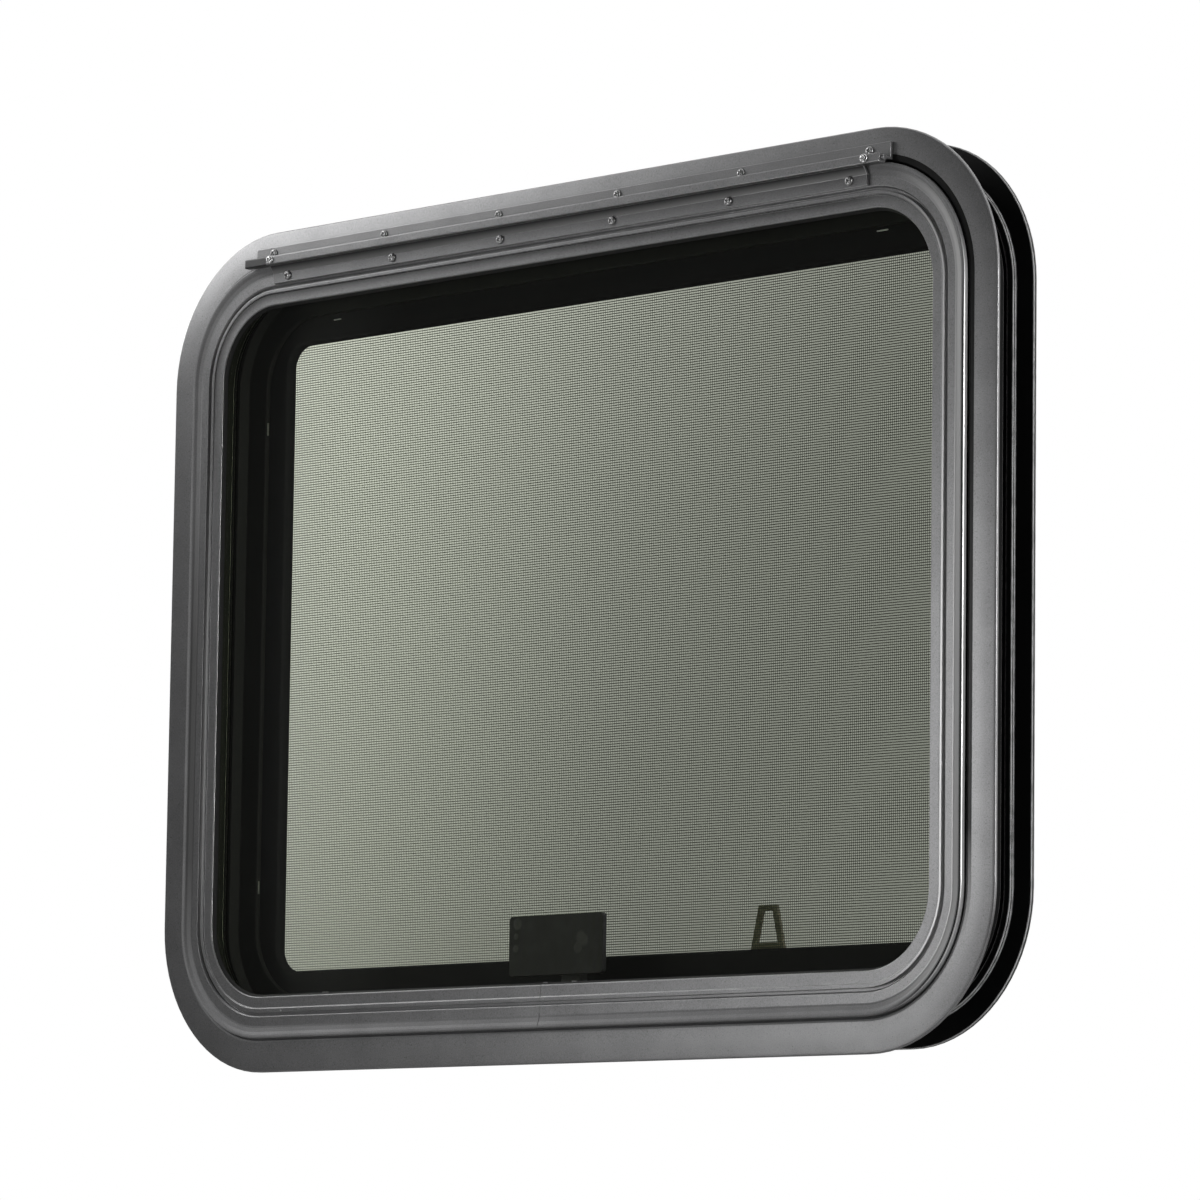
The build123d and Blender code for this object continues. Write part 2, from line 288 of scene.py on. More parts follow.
def inset_of(tree, where):
    """How far a point lies inside the window's outer edge, seen from the front."""
    centre = (HALF_W - CORNER_R, 1.0, HALF_H - CORNER_R)
    value = where
    for operation, other in (("ABSOLUTE", None), ("SUBTRACT", centre), ("MAXIMUM", (0, 0, 0))):
        made = node(tree, "ShaderNodeVectorMath", operation=operation)
        tree.links.new(value, made.inputs[0])
        if other:
            made.inputs[1].default_value = other
        value = made.outputs["Vector"]
    reach = node(tree, "ShaderNodeVectorMath", operation="LENGTH")
    tree.links.new(value, reach.inputs[0])
    return math_node(tree, "SUBTRACT", CORNER_R, reach.outputs["Value"])


def edge_wear_and_glint(tree, softened, where, most):
    """Where edges turn pale, from 0 on flat faces to most along sharp edges: partly rubbed coat, partly
    painted highlight.
    """
    turn = node(tree, "ShaderNodeVectorMath", operation="DOT_PRODUCT")
    tree.links.new(softened, turn.inputs[0])
    tree.links.new(node(tree, "ShaderNodeNewGeometry").outputs["Normal"], turn.inputs[1])
    near = remap(tree, turn.outputs["Value"], 0.94, 0.995, 1, 0)
    ragged = remap(tree, noise(tree, where, 160, 3), 0.3, 0.55, 0.55 * most, most)
    return product(tree, near, ragged)


def spot(tree, where, place, reach):
    """A ragged spot in the window's frame, from 1 in its middle to 0 outside."""
    away = node(tree, "ShaderNodeVectorMath", operation="DISTANCE")
    tree.links.new(where, away.inputs[0])
    away.inputs[1].default_value = [value * MM for value in place]
    share = math_node(tree, "DIVIDE", away.outputs["Value"], reach * MM)
    return remap(tree, math_node(tree, "ADD", share, noise(tree, where, 500 / reach, 3)), 1.1, 1.4, 1, 0)


def spots(tree, where, places):
    """Several ragged spots in one mask, each given as x, y, z and reach in millimetres."""
    return most_of(tree, *(spot(tree, where, place[:3], place[3]) for place in places))


def between(tree, value, zone):
    """1 where a length lies inside a zone given in millimetres, else 0."""
    above = math_node(tree, "GREATER_THAN", value, zone[0] * MM)
    return product(tree, above, math_node(tree, "LESS_THAN", value, zone[1] * MM))


def fade(tree, value, zone, to_low, to_high):
    """A value that goes from one number to another across a zone given in millimetres."""
    return remap(tree, value, zone[0] * MM, zone[1] * MM, to_low, to_high)


def painted_section_light(tree, coat, inset, sides, rim, rim_highlight, gap_shadow):
    """The coat of the frame and sash with painted highlights and painted shade along their section."""
    slope = between(tree, inset, RIM_SLOPE)
    groove = product(tree, between(tree, inset, GROOVE), most_of(tree, sides["left"], sides["right"]))
    shade = product(tree, sides["left"], most_of(tree, rim, slope))
    lip = product(tree, fade(tree, inset, LIP_FADE, 0.87, 0.12), between(tree, inset, LIP), sides["top"])
    inner_line = product(tree, sides["low_right"], between(tree, inset, RIM_SHADE))
    # Painted shade: along the top the lip is darkest beside the ridge and lighter towards the glass.
    coat = tint(tree, lip, coat, (0.01, 0.01, 0.01))
    # Painted shade: the rim and its slope are darker on the left side.
    coat = tint(tree, shade, coat, (0.12, 0.12, 0.12))
    # Painted light: the rim's slope is paler on the right side.
    coat = tint(tree, product(tree, slope, sides["right"]), coat, (0.45, 0.45, 0.45))
    # Painted highlight along the groove on the left and right sides.
    coat = tint(tree, groove, coat, (0.6, 0.6, 0.6))
    # Painted highlight along the rim's edge at the upper left and lower right.
    coat = tint(tree, rim_highlight, coat, (0.9, 0.9, 0.9))
    # Painted shadow on the flange's inner edge beside the gap, on the right.
    coat = tint(tree, gap_shadow, coat, DEEP_DARK)
    # Painted shadow: a dark line beside the rim at the lower right.
    return tint(tree, inner_line, coat, DEEP_DARK)


def fold_painted_shade(tree, coat, height):
    """The coat of the lower hinge leaf with painted shadow in the fold under its barrel, and painted light on
    the web just above the leaf.
    """
    leaf = product(tree, fade(tree, height, LEAF_FADE, 0.1, 0.45), between(tree, height, LEAF))
    web = tint(tree, fade(tree, height, WEB_FADE, 0, 1), (0.41, 0.41, 0.41), (0.03, 0.03, 0.03))
    coat = tint(tree, leaf, coat, (0, 0, 0))
    return tint(tree, between(tree, height, WEB), coat, web)


def grey_coat(name, kept=None, folded=False):
    """Grey powder coat with a fine sandy grain and faint cloudy patches, pale along its edges,
    which is partly rubbed coat and partly painted highlight.

    The frame and sash have a kept zone, where only the upper left and right keep the pale edges, as
    painted highlight, and the raised rim is duller. They carry painted highlights and painted shade along
    their section, and the part of them that lies in the wall is dark. The folded hinge leaf has painted
    shadow and painted light in the fold under its barrel, and a dark end instead.
    """
    material, tree, shader = new_material(name)
    where = object_place(tree)
    axes = axes_of(tree, where)
    inset = inset_of(tree, where)
    grain = noise(tree, where, 1500, 3, 0.7)
    cloud = noise(tree, where, 38, 3, 0.55)
    mixed = math_node(tree, "ADD", product(tree, grain, 0.75), product(tree, cloud, 0.25))
    coat = tint(tree, remap(tree, mixed, 0.3, 0.7, 0, 1), (0.18, 0.18, 0.183), (0.32, 0.32, 0.323))
    softened = soft_edges(tree, 0.4 * MM)
    chipped = product(tree, spots(tree, where, CHIPS), remap(tree, grain, 0.45, 0.6, 0, 1))
    flange_edge = product(tree, between(tree, inset, FLANGE_EDGE), between(tree, axes["Y"], FLANGE_DEPTH))
    # The flange's inner edge beside the gap is painted dark as shadow on the right, and keeps no pale edges
    # there.
    gap_shadow = product(tree, flange_edge, side(tree, axes, "gap_shadow"))
    rough = remap(tree, grain, 0.3, 0.7, 0.27, 0.35)
    wear_and_glint = product(tree, edge_wear_and_glint(tree, softened, where, 0.5), inverse(tree, gap_shadow))
    if kept:
        sides = {each: side(tree, axes, each) for each in SASH_SIDES}
        rim = product(tree, between(tree, inset, RIM_EDGE), between(tree, axes["Y"], RIM_DEPTH))
        # The rim's edge gets a painted highlight at the upper left and lower right.
        rim_highlight = product(tree, rim, most_of(tree, sides["upper_left"], sides["low_right"]))
        coat = painted_section_light(tree, coat, inset, sides, rim, rim_highlight, gap_shadow)
        outside = math_node(tree, "LESS_THAN", inset, kept[0] * MM)
        inside = math_node(tree, "GREATER_THAN", inset, kept[1] * MM)
        # In the kept zone the pale edges stay only at the upper left and right, where they are painted
        # highlight.
        wear_and_glint = product(tree, wear_and_glint, most_of(tree, sides["upper_left"], sides["right"], outside, inside))
        dull = product(tree, between(tree, inset, (kept[0] + 5, kept[1] - 1.5)), 0.3, inverse(tree, rim_highlight))
        rough = math_node(tree, "ADD", rough, dull)
    if folded:
        # Painted shadow and painted light in the fold under the hinge barrel.
        coat = fold_painted_shade(tree, coat, axes["Z"])
    coat = tint(tree, between(tree, axes["Y"], WALL_DEPTH), coat, DEEP_DARK)
    if folded:
        coat = tint(tree, between(tree, axes["X"], (-400, BARREL_STUB_X)), coat, (0.07, 0.07, 0.07))
    # Pale edges, partly rubbed coat and partly painted highlight, and pale chips.
    colour = tint(tree, most_of(tree, wear_and_glint, chipped), coat, (0.72, 0.72, 0.72))
    tree.links.new(colour, shader.inputs["Base Color"])
    tree.links.new(rough, shader.inputs["Roughness"])
    tree.links.new(bumped(tree, softened, grain, 0.25, 0.06 * MM), shader.inputs["Normal"])
    shader.inputs["Metallic"].default_value = 0.7
    return material


def black_coat(name, rough, shine):
    """Black coat of the inner ring and the screen frame, matt behind the glass and paler at its far left,
    where the paleness is painted light; its pale edges outside the glass are partly rubbed coat and partly
    painted highlight.
    """
    material, tree, shader = new_material(name)
    where = object_place(tree)
    grain = noise(tree, where, 2600, 2)
    smear = noise(tree, where, 24, 4, 0.6)
    coat = tint(tree, remap(tree, smear, 0.35, 0.75, 0, 1), (0.004, 0.004, 0.0042), (0.007, 0.007, 0.0072))
    softened = soft_edges(tree, 1.4 * MM)
    outside = math_node(tree, "LESS_THAN", inset_of(tree, where), BEHIND_GLASS * MM)
    # Painted light: behind the glass the coat is paler at the far left.
    far_left = side(tree, axes_of(tree, where), "far_left")
    behind = tint(tree, far_left, (0.018, 0.0162, 0.023), (0.046, 0.042, 0.058))
    coat = tint(tree, outside, behind, coat)
    # Pale edges outside the glass, partly rubbed coat and partly painted highlight.
    wear_and_glint = product(tree, outside, edge_wear_and_glint(tree, softened, where, 1.0))
    colour = tint(tree, wear_and_glint, coat, (0.85, 0.85, 0.85))
    tree.links.new(colour, shader.inputs["Base Color"])
    matt = product(tree, inverse(tree, outside), 0.75)
    own = remap(tree, smear, 0.3, 0.7, rough, rough + 0.1)
    tree.links.new(most_of(tree, own, matt), shader.inputs["Roughness"])
    shader.inputs["Specular IOR Level"].default_value = shine
    tree.links.new(bumped(tree, softened, grain, 0.12, 0.04 * MM), shader.inputs["Normal"])
    return material


def tinted_glass():
    """Olive grey tinted pane that lets lamp light through to the screen behind it."""
    material, tree, shader = new_material("tinted_glass")
    shader.inputs["Base Color"].default_value = GLASS_TINT
    shader.inputs["Roughness"].default_value = 0.0
    shader.inputs["IOR"].default_value = 1.45
    shader.inputs["Transmission Weight"].default_value = 1.0
    clear = node(tree, "ShaderNodeBsdfTransparent", Color=GLASS_TINT)
    path = node(tree, "ShaderNodeLightPath")
    mix = node(tree, "ShaderNodeMixShader")
    tree.links.new(path.outputs["Is Shadow Ray"], mix.inputs["Fac"])
    tree.links.new(shader.outputs["BSDF"], mix.inputs[1])
    tree.links.new(clear.outputs["BSDF"], mix.inputs[2])
    tree.links.new(mix.outputs["Shader"], tree.nodes["Material Output"].inputs["Surface"])
    return material


def black_rubber():
    """Dull black rubber and sealant."""
    material, tree, shader = new_material("black_rubber")
    where = object_place(tree)
    grain = noise(tree, where, 900, 3)
    colour = tint(tree, remap(tree, grain, 0.3, 0.7, 0, 1), (0.006, 0.006, 0.006), (0.013, 0.013, 0.013))
    tree.links.new(colour, shader.inputs["Base Color"])
    tree.links.new(remap(tree, grain, 0.3, 0.7, 0.6, 0.8), shader.inputs["Roughness"])
    tree.links.new(bumped(tree, soft_edges(tree, 0.3 * MM), grain, 0.2, 0.1 * MM), shader.inputs["Normal"])
    return material


def black_plastic(name, smears):
    """Moulded black plastic with a fine spark texture and faint grey smears."""
    material, tree, shader = new_material(name)
    where = object_place(tree)
    grain = noise(tree, where, 1800, 2)
    cloud = noise(tree, where, 90, 3)
    plain = tint(tree, remap(tree, cloud, 0.35, 0.7, 0, 1), (0.031, 0.0285, 0.0395), (0.044, 0.0405, 0.056))
    smeared = product(tree, spots(tree, where, smears), remap(tree, cloud, 0.3, 0.6, 0.5, 1))
    colour = tint(tree, smeared, plain, (0.11, 0.104, 0.13))
    tree.links.new(colour, shader.inputs["Base Color"])
    shader.inputs["Specular Tint"].default_value = (0.82, 0.75, 1, 1)
    tree.links.new(remap(tree, grain, 0.3, 0.7, 0.45, 0.6), shader.inputs["Roughness"])
    tree.links.new(bumped(tree, soft_edges(tree, 0.4 * MM), grain, 0.2, 0.05 * MM), shader.inputs["Normal"])
    return material


def loop_plastic():
    """Dark brown-grey plastic of the pull loop, with rubbed patches."""
    material, tree, shader = new_material("loop_plastic")
    where = object_place(tree)
    patch = noise(tree, where, 150, 3, 0.6)
    grain = noise(tree, where, 1500, 2)
    colour = tint(tree, remap(tree, patch, 0.35, 0.65, 0, 1), (0.13, 0.118, 0.08), (0.22, 0.185, 0.125))
    tree.links.new(colour, shader.inputs["Base Color"])
    tree.links.new(remap(tree, grain, 0.3, 0.7, 0.45, 0.6), shader.inputs["Roughness"])
    tree.links.new(bumped(tree, soft_edges(tree, 0.4 * MM), grain, 0.15, 0.05 * MM), shader.inputs["Normal"])
    return material


def mesh_thread():
    """Coated dark thread of the insect mesh, with painted light that makes it paler towards the left."""
    material, tree, shader = new_material("mesh_thread")
    where = object_place(tree)
    grain = noise(tree, where, 700, 2)
    plain = tint(tree, remap(tree, grain, 0.3, 0.7, 0, 1), (0.012, 0.0125, 0.0105), (0.025, 0.026, 0.022))
    painted_left_light = side(tree, axes_of(tree, where), "mesh_painted_light")
    colour = tint(tree, painted_left_light, plain, (0.24, 0.245, 0.22))
    tree.links.new(colour, shader.inputs["Base Color"])
    tree.links.new(remap(tree, grain, 0.3, 0.7, 0.4, 0.6), shader.inputs["Roughness"])
    return material


def screw_metal(name, dark, light, rough):
    """Plated steel of the screw heads with fine scratches and dull patches."""
    material, tree, shader = new_material(name)
    where = object_place(tree)
    patch = noise(tree, where, 900, 3, 0.6)
    colour = tint(tree, remap(tree, patch, 0.35, 0.65, 0, 1), dark, light)
    tree.links.new(colour, shader.inputs["Base Color"])
    shader.inputs["Metallic"].default_value = 1.0
    tree.links.new(remap(tree, patch, 0.3, 0.7, rough, rough + 0.15), shader.inputs["Roughness"])
    bump = node(tree, "ShaderNodeBump", Strength=0.2, Distance=0.05 * MM)
    tree.links.new(patch, bump.inputs["Height"])
    tree.links.new(bump.outputs["Normal"], shader.inputs["Normal"])
    return material


def smooth_by_angle(piece, degrees):
    """Smooth shading except over sharp edges, as a modifier."""
    name = f"smooth_below_{degrees}"
    group = bpy.data.node_groups.get(name)
    if group is None:
        group = bpy.data.node_groups.new(name, "GeometryNodeTree")
        group.interface.new_socket("Geometry", in_out="INPUT", socket_type="NodeSocketGeometry")
        group.interface.new_socket("Geometry", in_out="OUTPUT", socket_type="NodeSocketGeometry")
        start = group.nodes.new("NodeGroupInput")
        end = group.nodes.new("NodeGroupOutput")
        angle = group.nodes.new("GeometryNodeInputMeshEdgeAngle")
        below = group.nodes.new("FunctionNodeCompare")
        below.operation = "LESS_EQUAL"
        below.inputs["B"].default_value = math.radians(degrees)
        faces = group.nodes.new("GeometryNodeSetShadeSmooth")
        edges = group.nodes.new("GeometryNodeSetShadeSmooth")
        edges.domain = "EDGE"
        group.links.new(start.outputs[0], faces.inputs["Geometry"])
        group.links.new(faces.outputs["Geometry"], edges.inputs["Geometry"])
        group.links.new(angle.outputs["Unsigned Angle"], below.inputs["A"])
        group.links.new(below.outputs["Result"], edges.inputs["Shade Smooth"])
        group.links.new(edges.outputs["Geometry"], end.inputs[0])
    piece.modifiers.new(name, "NODES").node_group = group


def add_piece(name, mesh, material):
    """Links a mesh as a piece that rides on the window."""
    piece = bpy.data.objects.new(name, mesh)
    bpy.context.scene.collection.objects.link(piece)
    mesh.materials.append(material)
    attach(piece, "root")
    return piece


def mesh_from(name, build):
    """A mesh filled by a function that adds to a bmesh."""
    shape = bmesh.new()
    build(shape)
    bmesh.ops.recalc_face_normals(shape, faces=shape.faces)
    mesh = bpy.data.meshes.new(name)
    shape.to_mesh(mesh)
    shape.free()
    return mesh


def thread(shape, start, end, radius):
    """One round thread from start to end, closed at both ends."""
    along = (end - start).normalized()
    across = along.cross(Vector((0, 1, 0)))
    rings = []
    for middle in (start, end):
        ring = []
        for i in range(THREAD_SIDES):
            angle = 2 * math.pi * (i + 0.5) / THREAD_SIDES
            offset = across * math.cos(angle) + Vector((0, 1, 0)) * math.sin(angle)
            ring.append(shape.verts.new(middle + offset * radius))
        rings.append(ring)
    for i in range(THREAD_SIDES):
        j = (i + 1) % THREAD_SIDES
        shape.faces.new((rings[0][i], rings[0][j], rings[1][j], rings[1][i]))
    shape.faces.new(rings[0])
    shape.faces.new(rings[1])


def reach_at(offset, half_across, half_along):
    """Half length of a thread that lies at an offset across a sheet with rounded corners."""
    over = abs(offset) - (half_across - MESH_CORNER_R)
    if over <= 0:
        return half_along
    return half_along - MESH_CORNER_R + math.sqrt(max(MESH_CORNER_R**2 - over**2, 0))


def insect_mesh(material):
    """Upright and level threads of the screen, fused where they cross."""
    low, high = (Vector(corner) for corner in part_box("insect_mesh"))
    half_w = high.x - UPRIGHT_R
    half_h = high.z - LEVEL_R

    def build(shape):
        count = int(half_w / MESH_PITCH)
        for i in range(-count, count + 1):
            x = i * MESH_PITCH
            reach = reach_at(x, half_w, half_h)
            y = low.y + UPRIGHT_R
            thread(shape, Vector((x, y, -reach)), Vector((x, y, reach)), UPRIGHT_R)
        count = int(half_h / MESH_PITCH)
        for i in range(-count, count + 1):
            z = i * MESH_PITCH
            reach = reach_at(z, half_h, half_w)
            y = high.y - LEVEL_R
            thread(shape, Vector((-reach, y, z)), Vector((reach, y, z)), LEVEL_R)

    piece = add_piece("insect_mesh_threads", mesh_from("insect_mesh_threads", build), material)
    smooth_by_angle(piece, ROUND_SMOOTH)
    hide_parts("insect_mesh")


def screw_head(shape, centre, outward, turn):
    """A domed head with a pressed cross recess, seated with its back on centre."""
    up = Vector(outward)
    first = up.orthogonal().normalized()
    second = up.cross(first)

    def point(radius, angle):
        share = radius / SCREW_R
        height = SCREW_H * (SCREW_EDGE + (1 - SCREW_EDGE) * math.sqrt(max(1 - share**2, 0)))
        turned = angle + turn
        across = min(abs(radius * math.cos(turned)), abs(radius * math.sin(turned)))
        arm = 1 - min(max((across - RECESS_HALF) / RECESS_WALL, 0), 1)
        ends = 1 - min(max((radius - RECESS_REACH) / RECESS_END, 0), 1)
        height -= RECESS_DEPTH * arm * ends
        return centre + up * height + (first * math.cos(angle) + second * math.sin(angle)) * radius

    middle = shape.verts.new(point(0, 0))
    previous = None
    for r in range(1, HEAD_RINGS + 1):
        radius = SCREW_R * r / HEAD_RINGS
        ring = [shape.verts.new(point(radius, 2 * math.pi * i / HEAD_STEPS)) for i in range(HEAD_STEPS)]
        for i in range(HEAD_STEPS):
            j = (i + 1) % HEAD_STEPS
            if previous is None:
                shape.faces.new((middle, ring[i], ring[j]))
            else:
                shape.faces.new((previous[i], ring[i], ring[j], previous[j]))
        previous = ring
    foot = []
    for i in range(HEAD_STEPS):
        angle = 2 * math.pi * i / HEAD_STEPS
        foot.append(shape.verts.new(centre + (first * math.cos(angle) + second * math.sin(angle)) * SCREW_R))
    for i in range(HEAD_STEPS):
        j = (i + 1) % HEAD_STEPS
        shape.faces.new((previous[i], foot[i], foot[j], previous[j]))
    shape.faces.new(foot)


def screw_row(name, places, outward, material):
    """Screw heads at a list of places, each turned its own way."""
    turns = random.Random(name)

    def build(shape):
        for place in places:
            screw_head(shape, Vector(place), outward, turns.uniform(0, math.pi / 2))

    piece = add_piece(name, mesh_from(name, build), material)
    smooth_by_angle(piece, ROUND_SMOOTH)


def spread(half, count):
    """Evenly spaced places from one end to the other."""
    return [-half + 2 * half * i / (count - 1) for i in range(count)]


def outline_points(inset, steps):
    """Points round the window's outline at an inset from its outer edge."""
    radius = CORNER_R - inset
    points = []
    for across, up, start in ((1, 1, 0), (-1, 1, 90), (-1, -1, 180), (1, -1, 270)):
        for i in range(steps + 1):
            angle = math.radians(start + 90 * i / steps)
            x = across * (HALF_W - CORNER_R) + radius * math.cos(angle)
            z = up * (HALF_H - CORNER_R) + radius * math.sin(angle)
            points.append((x, z))
    return points


def sealant_bead(material):
    """Black sealant in the corner between the glass and the edge of the sash lip.

    Its section is given as insets and depths in millimetres.
    """
    section = ((43.42, -3.0), (43.6, -2.0), (43.95, -1.25), (44.7, -0.64), (43.42, -0.64))

    def build(shape):
        runs = []
        for inset, y in section:
            runs.append([shape.verts.new((x, y * MM, z)) for x, z in outline_points(inset * MM, 16)])
        for a in range(len(runs)):
            first, second = runs[a], runs[(a + 1) % len(runs)]
            for i in range(len(first)):
                j = (i + 1) % len(first)
                shape.faces.new((first[i], first[j], second[j], second[i]))

    piece = add_piece("sealant_bead", mesh_from("sealant_bead", build), material)
    smooth_by_angle(piece, BENT_SMOOTH)


def bars(name, places, round_by, material):
    """Small bars with rounded edges, each given as a middle and a size in millimetres."""

    def build(shape):
        for middle, size in places:
            scaled = Matrix.Diagonal((*(value * MM for value in size), 1))
            place = Matrix.Translation(Vector(middle) * MM) @ scaled
            corners = set(bmesh.ops.create_cube(shape, size=1, matrix=place)["verts"])
            edges = [edge for edge in shape.edges if corners.issuperset(edge.verts)]
            bmesh.ops.bevel(
                shape, geom=edges, offset=round_by * MM, segments=3, profile=0.5, affect="EDGES"
            )

    piece = add_piece(name, mesh_from(name, build), material)
    smooth_by_angle(piece, BENT_SMOOTH)


def small_bars(pale, sealant, loop):
    """Tongues of the screen clips, blobs of sealant on the glass, and the foot of the pull loop."""
    tongues = [((-217.7, 34.8, 196.3), (6, 0.6, 0.8)), ((209.1, 34.8, 197.8), (8, 0.6, 0.8))]
    tongues += [((x, 33.7, z), (0.6, 1.2, 7.5)) for x in (-274.9, 274.9) for z in (-134.8, 136.5)]
    bars("screen_clip_tongues", tongues, 0.2, pale)
    runs = ((-4.3, 3.5), (18.1, 4.0), (-181, 5.0))
    blobs = [((x, -1.0, -200.6), (long, 0.8, 1.1)) for x, long in runs]
    bars("sealant_blobs", blobs, 0.35, sealant)
    bars("pull_loop_foot", [((121.5, 45, -182.2), (18.4, 1.9, 3.4))], 0.5, loop)


def clamp_screws(material):
    """Screws that pull the inner clamp ring towards the outer frame."""
    level_z = HALF_H - RING_SCREW_INSET
    side_x = HALF_W - RING_SCREW_INSET
    places = [(x, RING_SCREW_Y, z) for z in (-level_z, level_z) for x in spread(RING_SCREW_X, 4)]
    places += [(x, RING_SCREW_Y, z) for x in (-side_x, side_x) for z in spread(RING_SCREW_Z, 3)]
    screw_row("clamp_ring_screws", places, (0, 1, 0), material)


def hinge_screws(dark, bright):
    """Screws through both hinge leaves, and the two stop screws on the barrel."""
    outward = (0, -1, 0)
    upper = [(x, UPPER_SCREW_Y, UPPER_SCREW_Z) for x in spread(UPPER_SCREW_X, SCREWS_A_ROW)]
    lower = [(x, LOWER_SCREW_Y, LOWER_SCREW_Z) for x in spread(LOWER_SCREW_X, SCREWS_A_ROW)]
    screw_row("upper_leaf_screws", upper, outward, dark)
    screw_row("lower_leaf_screws", lower, outward, dark)
    barrel_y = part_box("hinge_lower_leaf")[0][1]
    stops = [(x, barrel_y, STOP_SCREW_Z) for x in STOP_SCREW_X]
    screw_row("hinge_stop_screws", stops, outward, bright)


def studio():
    """Pale floor that keeps its tone from every side, and white surroundings."""

    def build(shape):
        bmesh.ops.create_grid(shape, x_segments=1, y_segments=1, size=FLOOR_HALF)

    floor_mesh = mesh_from("floor", build)
    floor = bpy.data.objects.new("floor", floor_mesh)
    floor.location = (0, 0, FLOOR_Z)
    bpy.context.scene.collection.objects.link(floor)
    material, tree, shader = new_material("pale_floor")
    shader.inputs["Base Color"].default_value = (0.8, 0.8, 0.8, 1)
    shader.inputs["Roughness"].default_value = 0.9
    seen = node(tree, "ShaderNodeLightPath").outputs["Is Camera Ray"]
    shader.inputs["Emission Color"].default_value = (1, 1, 1, 1)
    tree.links.new(product(tree, seen, 0.55), shader.inputs["Emission Strength"])
    floor_mesh.materials.append(material)

    world = bpy.data.worlds.new("studio")
    bpy.context.scene.world = world
    world.use_nodes = True
    tree = world.node_tree
    background = tree.nodes["Background"]
    background.inputs["Color"].default_value = (1, 1, 1, 1)
    path = node(tree, "ShaderNodeLightPath")
    seen = most_of(tree, *(path.outputs[f"Is {ray} Ray"] for ray in ("Camera", "Glossy", "Transmission")))
    strength = remap(tree, seen, 0, 1, 0.1, 1.0)
    tree.links.new(strength, background.inputs["Strength"])


def studio_card(name, place, width, height, strength):
    """An upright card with an even or shaded glow, hidden from all rays until the caller shows it to some."""
    half_w, half_h = width / 2, height / 2

    def build(shape):
        corners = ((-half_w, -half_h), (half_w, -half_h), (half_w, half_h), (-half_w, half_h))
        shape.faces.new([shape.verts.new((x, 0, z)) for x, z in corners])

    mesh = mesh_from(name, build)
    material = bpy.data.materials.new(name)
    material.use_nodes = True
    tree = material.node_tree
    tree.nodes.remove(tree.nodes["Principled BSDF"])
    glow = node(tree, "ShaderNodeEmission")
    if callable(strength):
        tree.links.new(strength(tree), glow.inputs["Strength"])
    else:
        glow.inputs["Strength"].default_value = strength
    tree.links.new(glow.outputs["Emission"], tree.nodes["Material Output"].inputs["Surface"])
    mesh.materials.append(material)
    card = bpy.data.objects.new(name, mesh)
    card.location = place
    bpy.context.scene.collection.objects.link(card)
    for ray in ("camera", "diffuse", "glossy", "transmission", "volume_scatter", "shadow"):
        setattr(card, f"visible_{ray}", False)
    return card


def backdrop_glow(tree):
    """White at the upper left of the backdrop, falling to grey at the right."""
    axes = axes_of(tree, object_place(tree))
    slope = math_node(tree, "SUBTRACT", axes["X"], product(tree, axes["Z"], BACKDROP_LEAN))
    return remap(tree, slope, *BACKDROP_FADE, *BACKDROP_GLOW, kind="SMOOTHERSTEP")


def lamp(name, turn, rise, distance, size, power):
    """A soft square lamp that points at the window; turn is 0 in front and 90 at the right."""
    across = math.cos(math.radians(rise)) * distance
    place = Vector((
        across * math.sin(math.radians(turn)),
        -across * math.cos(math.radians(turn)),
        distance * math.sin(math.radians(rise)),
    ))
    data = bpy.data.lights.new(name, "AREA")
    data.shape = "SQUARE"
    data.size = size
    data.energy = power
    made = bpy.data.objects.new(name, data)
    made.location = place
    made.rotation_euler = (-place).to_track_quat("-Z", "Y").to_euler()
    made.visible_transmission = False
    bpy.context.scene.collection.objects.link(made)


def camera():
    """The photograph's viewpoint."""
    data = bpy.data.cameras.new("camera")
    data.lens = CAMERA_LENS
    data.sensor_width = SENSOR
    made = bpy.data.objects.new("camera", data)
    look = (CAMERA_TARGET - CAMERA_AT).to_track_quat("-Z", "Y").to_matrix().to_4x4()
    made.matrix_world = Matrix.Translation(CAMERA_AT) @ look @ Matrix.Rotation(CAMERA_ROLL, 4, "Z")
    bpy.context.scene.collection.objects.link(made)
    bpy.context.scene.camera = made


def dress(materials):
    """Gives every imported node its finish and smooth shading, with a soft fold in the lower hinge leaf."""
    for name, material in materials.items():
        piece = NODES[name]
        piece.data.materials.clear()
        piece.data.materials.append(material)
        smooth_by_angle(piece, BENT_SMOOTH if name == "hinge_lower_leaf" else FLAT_SMOOTH)


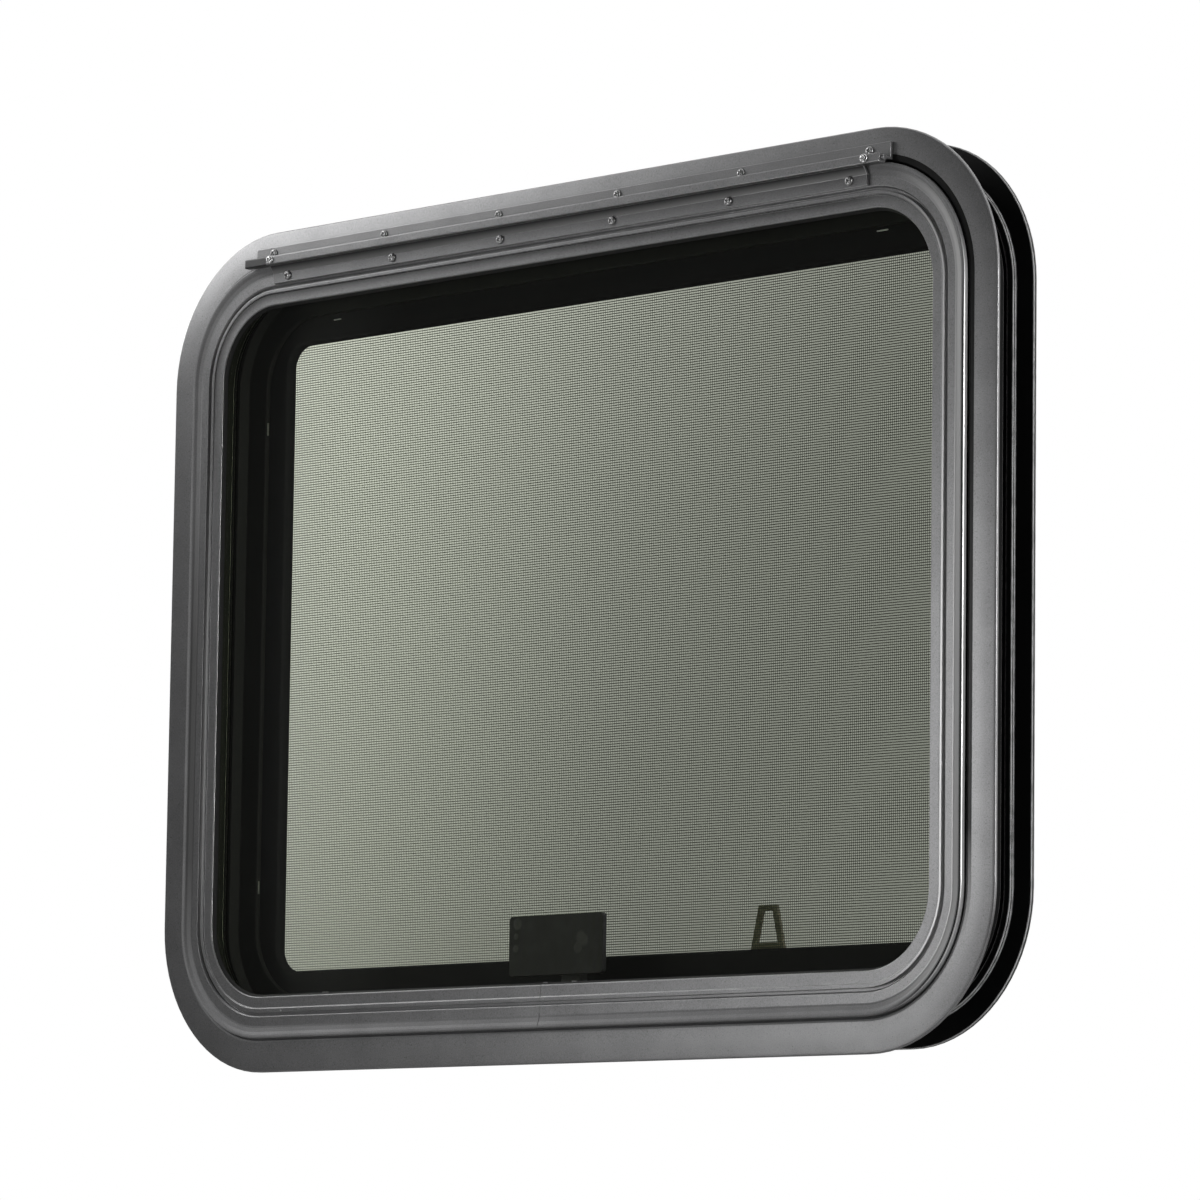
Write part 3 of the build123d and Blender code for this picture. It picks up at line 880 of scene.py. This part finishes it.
grey = grey_coat("frame_powder_coat", kept=KEPT_EDGES)
hinge_grey = grey_coat("hinge_powder_coat")
barrel_grey = grey_coat("barrel_powder_coat", folded=True)
black = black_coat("black_powder_coat", 0.28, 0.25)
screen_black = black_coat("screen_powder_coat", 0.75, 0.03)
rubber = black_rubber()
plastic = black_plastic("clip_plastic", CLIP_SMEARS)
latch = black_plastic("latch_plastic", LATCH_SMEARS)
loop = loop_plastic()
dress({
    "outer_frame": grey,
    "sash_frame": grey,
    "hinge_upper_leaf": hinge_grey,
    "hinge_lower_leaf": barrel_grey,
    "glass_pane": tinted_glass(),
    "glazing_bed": rubber,
    "weather_seal": rubber,
    "clamp_ring": black,
    "screen_frame": screen_black,
    "screen_spline": rubber,
    "screen_clips": plastic,
    "pull_loop": loop,
    "latch_base": latch,
    "latch_lever": latch,
})
insect_mesh(mesh_thread())
hinge_screws(
    screw_metal("dull_screw", (0.35, 0.35, 0.35), (0.55, 0.55, 0.55), 0.25),
    screw_metal("bright_screw", (0.6, 0.6, 0.6), (0.8, 0.8, 0.8), 0.15),
)
clamp_screws(screw_metal("black_screw", (0.03, 0.03, 0.03), (0.06, 0.06, 0.06), 0.35))
sealant_bead(rubber)
small_bars(
    screw_metal("pale_plate", (0.6, 0.57, 0.66), (0.75, 0.72, 0.83), 0.4),
    screw_metal("pale_sealant", (0.1, 0.1, 0.1), (0.2, 0.2, 0.2), 0.5),
    loop,
)
studio()
front_flag = studio_card("front_flag", (0, FLAG_Y, 2.0), 30, 14, 0.03)
front_flag.visible_glossy = True
front_flag.visible_transmission = True
studio_card("backdrop_card", (0, BACKDROP_Y, 0), 5, 3, backdrop_glow).visible_transmission = True
lamp("front_low_soft", -34, -10, 1.8, 0.3, 1.4)
lamp("front_soft", -29, 4, 1.8, 0.3, 2.4)
lamp("upper_left_soft", -62, 29.5, 1.6, 0.6, 5.8)
lamp("right_soft", 89, 8, 1.8, 0.6, 16)
camera()
bpy.context.scene.view_settings.view_transform = "Standard"
